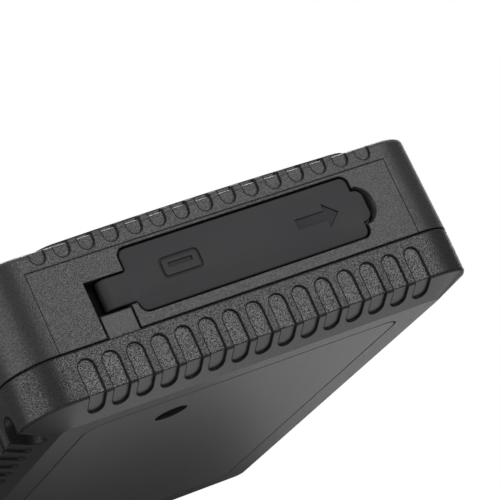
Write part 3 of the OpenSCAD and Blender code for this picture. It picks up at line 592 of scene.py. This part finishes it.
def make_flap():
    """Rubber cover over the ports, with its lug, strap, plugs and sunk marks."""
    low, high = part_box("port_flap")
    low, high = low / MM, high / MM
    hinge = Vector(next(j["pos_m"] for j in frame["joints"] if j["name"] == "flap_hinge")) / MM
    out_y = low.y
    in_y = out_y + FLAP_T
    root_x = hinge.x + STRAP_TURN
    flap = prism("rubber_flap", panel_outline(low.z, high.z, root_x), out_y, in_y, on_wall, FLAP_SOFT, root_x)
    lug = fillet(rectangle(PANEL_RIGHT - LUG_ROOT, LUG_LOW, LUG_RIGHT, LUG_TOP), LUG_R)
    combine(flap, prism("lug", lug, out_y, in_y, on_wall, FLAP_SOFT), "UNION")
    strap = prism("strap", strap_outline(hinge.x, hinge.y), STRAP_LOW, STRAP_TOP, on_face, FLAP_SOFT)
    combine(flap, strap, "UNION")
    for name, outline in BUNGS.items():
        bung = prism(name, outline, in_y - BUNG_ROOT, in_y + BUNG_L, on_wall, BUNG_SOFT)
        combine(flap, bung, "UNION")
    mark_from, mark_to = out_y - CUT_OVER, out_y + MARK_DEPTH
    socket = prism("socket", SOCKET_RIM, mark_from, mark_to, on_wall)
    well = prism("well", SOCKET_WELL, mark_from - CUT_OVER, mark_to + CUT_OVER, on_wall)
    combine(socket, well, "DIFFERENCE")
    bar = prism("bar", SOCKET_BAR, mark_from, mark_to, on_wall)
    for mark in (socket, bar, prism("arrow", ARROW, mark_from, mark_to, on_wall)):
        combine(flap, mark, "DIFFERENCE")
    slice_strap(flap, hinge.x)
    flap.data.materials.clear()
    flap.data.materials.append(RUBBER)
    flap.data.materials.append(SHADED_SUNK_RUBBER)
    # Floors of the sunk marks take the darker rubber, painted shade
    for face in flap.data.polygons:
        if abs(face.center.y / MM - mark_to) < MARK_NEAR and face.normal.y < -0.99:
            face.material_index = 1
    flap.data.shade_smooth()
    flap.data.set_sharp_from_angle(angle=SMOOTH_ANGLE)
    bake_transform(flap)
    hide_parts("port_flap")


def slice_strap(flap, hinge_x):
    """Cuts the strap into short lengths."""
    mesh = bmesh.new()
    mesh.from_mesh(flap.data)
    for i in range(1, STRAP_CUTS):
        at = hinge_x + (PANEL_LEFT - hinge_x) * i / STRAP_CUTS
        whole = list(mesh.verts) + list(mesh.edges) + list(mesh.faces)
        bmesh.ops.bisect_plane(mesh, geom=whole, plane_co=(at * MM, 0, 0), plane_no=(1, 0, 0), dist=SLICE_NEAR)
    mesh.to_mesh(flap.data)
    mesh.free()


def arc(radius, start, end):
    """Points on a circle round the origin, from one angle to another in degrees."""
    angles = (math.radians(start + (end - start) * i / ARC_STEPS) for i in range(ARC_STEPS + 1))
    return [(radius * math.cos(a), radius * math.sin(a)) for a in angles]


KEY_MARKS = {
    "power": [arc(1.7, 125, 415) + arc(1.35, 415, 125), rectangle(-0.18, 0.3, 0.18, 2.0)],
    "previous": [[(-1.7, 0.0), (1.2, -1.7), (1.2, 1.7)]],
    "next": [[(1.7, 0.0), (-1.2, 1.7), (-1.2, -1.7)]],
    "enter": [[(-2.2, -0.5), (-0.7, -1.6), (-0.7, -0.7), (1.6, -0.7), (1.6, 1.5), (1.2, 1.5), (1.2, -0.3),
               (-0.7, -0.3), (-0.7, 0.6)]],
}


def make_key_marks():
    """Printed sign on each key."""
    for key, outlines in KEY_MARKS.items():
        low, high = (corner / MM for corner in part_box("key_" + key))
        middle = (low + high) / 2
        mark = None
        for outline in outlines:
            placed = [(middle.x + u, middle.y + v) for u, v in outline]
            part = prism(key + "_mark", placed, high.z - MARK_PRINT, high.z + MARK_PRINT, on_face)
            if mark:
                combine(mark, part, "UNION")
            mark = mark or part
        mark.data.materials.clear()
        mark.data.materials.append(PRINT)
        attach(mark, "key_" + key + "_cap")


def leaf(back, face, out):
    """Side of a contact leaf lying on a tongue's face, raised into a low bow near its front."""
    front = CONTACT_FRONT
    bow = face + 2 * out
    return [(front, face - out), (front, face + out), (front + LEAF_RISE, bow), (front + LEAF_CREST, bow),
            (front + LEAF_FALL, face + out), (back, face + out), (back, face - out)]


def row(middle, pitch, count):
    """Places of evenly spaced leaves."""
    return [middle + pitch * (i - (count - 1) / 2) for i in range(count)]


def make_contacts(name, leaves, width, places):
    """Gilt leaves side by side on a port's tongue."""
    contacts = None
    for outline in leaves:
        for x in places:
            part = prism(name, outline, x - width / 2, x + width / 2, on_side)
            if contacts:
                combine(contacts, part, "UNION")
            contacts = contacts or part
    contacts.data.materials.clear()
    contacts.data.materials.append(GOLD)
    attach(contacts, "housing")


def make_camera():
    back = Vector((
        math.sin(CAMERA_AZIMUTH) * math.cos(CAMERA_ELEVATION),
        -math.cos(CAMERA_AZIMUTH) * math.cos(CAMERA_ELEVATION),
        math.sin(CAMERA_ELEVATION),
    ))
    camera = bpy.data.objects.new("camera", bpy.data.cameras.new("camera"))
    scene.collection.objects.link(camera)
    upright = (-back).to_track_quat("-Z", "Y").to_matrix().to_4x4()
    place = Matrix.Translation(CAMERA_TARGET + back * CAMERA_DISTANCE)
    camera.matrix_world = place @ upright @ Matrix.Rotation(CAMERA_ROLL, 4, "Z")
    camera.data.lens = CAMERA_LENS
    camera.data.clip_start = CAMERA_NEAR
    scene.camera = camera


def make_world():
    """White to the camera, a studio with a dark middle in reflections, and a plain soft light otherwise."""
    world = bpy.data.worlds.new("studio")
    scene.world = world
    world.use_nodes = True
    world.node_tree.nodes.clear()
    path = node(world, "LightPath")
    mirrored = node(world, "Math", {
        0: path.outputs["Is Glossy Ray"], 1: path.outputs["Is Transmission Ray"],
    }, operation="MAXIMUM").outputs[0]
    height = node(world, "SeparateXYZ", {0: node(world, "TexCoord").outputs["Generated"]}).outputs["Z"]
    ceiling = ranged(world, height, CEILING_FROM, CEILING_FULL, STUDIO_DARK, 1.0)
    ground = ranged(world, height, GROUND_FROM, GROUND_FULL, 0.0, GROUND_GLOW)
    beneath = ranged(world, height, GROUND_FULL, -1.0, 0.0, DEEP_GLOW)
    below = node(world, "Math", {0: ground, 1: beneath}, operation="ADD").outputs[0]
    studio = node(world, "Math", {0: ceiling, 1: below}, operation="ADD").outputs[0]
    soft = node(world, "Mix", {"Factor": mirrored, "A": AMBIENT_LIGHT, "B": studio}).outputs[0]
    strength = node(world, "Math", {0: soft, 1: path.outputs["Is Camera Ray"]}, operation="MAXIMUM").outputs[0]
    light = node(world, "Background", {"Color": (1, 1, 1, 1), "Strength": strength})
    output = world.node_tree.nodes.new("ShaderNodeOutputWorld")
    world.node_tree.links.new(light.outputs[0], output.inputs["Surface"])


def make_floor():
    """Pale floor that fades to the white background, seen from above only: the photograph looks up at the rear."""
    mesh = bmesh.new()
    bmesh.ops.create_grid(mesh, x_segments=2, y_segments=2, size=FLOOR_HALF)
    bmesh.ops.translate(mesh, verts=mesh.verts, vec=(0, 0, -FLOOR_DROP))
    data = bpy.data.meshes.new("floor")
    mesh.to_mesh(data)
    mesh.free()
    floor = bpy.data.objects.new("floor", data)
    scene.collection.objects.link(floor)
    material = new_material("floor_paint")
    from_below = node(material, "NewGeometry").outputs["Backfacing"]
    from_above = node(material, "Math", {0: 1.0, 1: from_below}, operation="SUBTRACT").outputs[0]
    shown = times(material, node(material, "LightPath").outputs["Is Camera Ray"], from_above)
    diffuse = node(material, "BsdfDiffuse", {"Color": FLOOR_COLOUR}).outputs[0]
    pale = node(material, "Emission", {"Color": (1, 1, 1, 1), "Strength": FLOOR_SHINE}).outputs[0]
    near = node(material, "AddShader", {0: diffuse, 1: pale}).outputs[0]
    place = node(material, "TexCoord").outputs["Object"]
    reach = node(material, "VectorMath", {0: place}, operation="LENGTH").outputs["Value"]
    away = ranged(material, reach, FLOOR_FADE_FROM, FLOOR_FADE_TO, 0.0, 1.0)
    white = node(material, "Emission", {"Color": (1, 1, 1, 1), "Strength": 1.0}).outputs[0]
    paint = node(material, "MixShader", {0: away, 1: near, 2: white}).outputs[0]
    clear = node(material, "BsdfTransparent").outputs[0]
    surface = node(material, "MixShader", {0: shown, 1: clear, 2: paint}).outputs[0]
    data.materials.append(finish_material(material, surface))
    floor.visible_shadow = False


def make_light(name, place, size, energy, aim=(0, 0, 15), width=None):
    """Soft light at a place in millimetres, not seen by the camera."""
    light = bpy.data.objects.new(name, bpy.data.lights.new(name, "AREA"))
    scene.collection.objects.link(light)
    place = Vector(place) * MM
    light.location = place
    light.rotation_euler = (Vector(aim) * MM - place).to_track_quat("-Z", "Y").to_euler()
    light.data.shape = "RECTANGLE"
    light.data.size = (width or size) * MM
    light.data.size_y = size * MM
    light.visible_camera = False
    light.data.energy = energy
    return light


def keep_off(light, piece):
    """Keeps a light's glare off one piece, as a flag does in a studio."""
    flagged = bpy.data.collections.new(light.name + "_flag")
    flagged.objects.link(piece)
    flagged.collection_objects[0].light_linking.link_state = "EXCLUDE"
    light.light_linking.receiver_collection = flagged


make_flap()
make_key_marks()
make_contacts("usb_a_contacts", [leaf(back=-54.0, face=20.8, out=-0.12)], width=1.0, places=(15.0, 17.5, 19.5, 22.0))
make_contacts("usb_c_contacts", [leaf(back=-58.5, face=19.48, out=0.02), leaf(back=-58.5, face=18.78, out=-0.02)],
              width=0.26, places=row(middle=3.5, pitch=0.5, count=12))
make_contacts("micro_usb_contacts", [leaf(back=-58.8, face=19.1, out=0.04)],
              width=0.34, places=row(middle=-10.5, pitch=0.65, count=5))
make_camera()
make_world()
make_floor()
for softbox in (make_light("front_box", place=(360, -800, 190), size=560, energy=3.2),
                make_light("left_box", place=(-810, -263, 180), size=480, energy=3.6, width=1000),
                make_light("right_box", place=(560, 560, 180), size=480, energy=1.3)):
    keep_off(softbox, nodes["display_window"])
make_light("overhead", place=(390, 190, 780), size=450, energy=5.0)
make_light("rear_glow", place=(254, 357, -109), size=123, energy=0.034, aim=(20, -30, 0))
make_light("near_glow", place=(20, 45, -72), size=60, energy=0.0095, aim=(-20, -40, 0))
make_light("low_box", place=(330, 190, -365), size=420, energy=0.5)
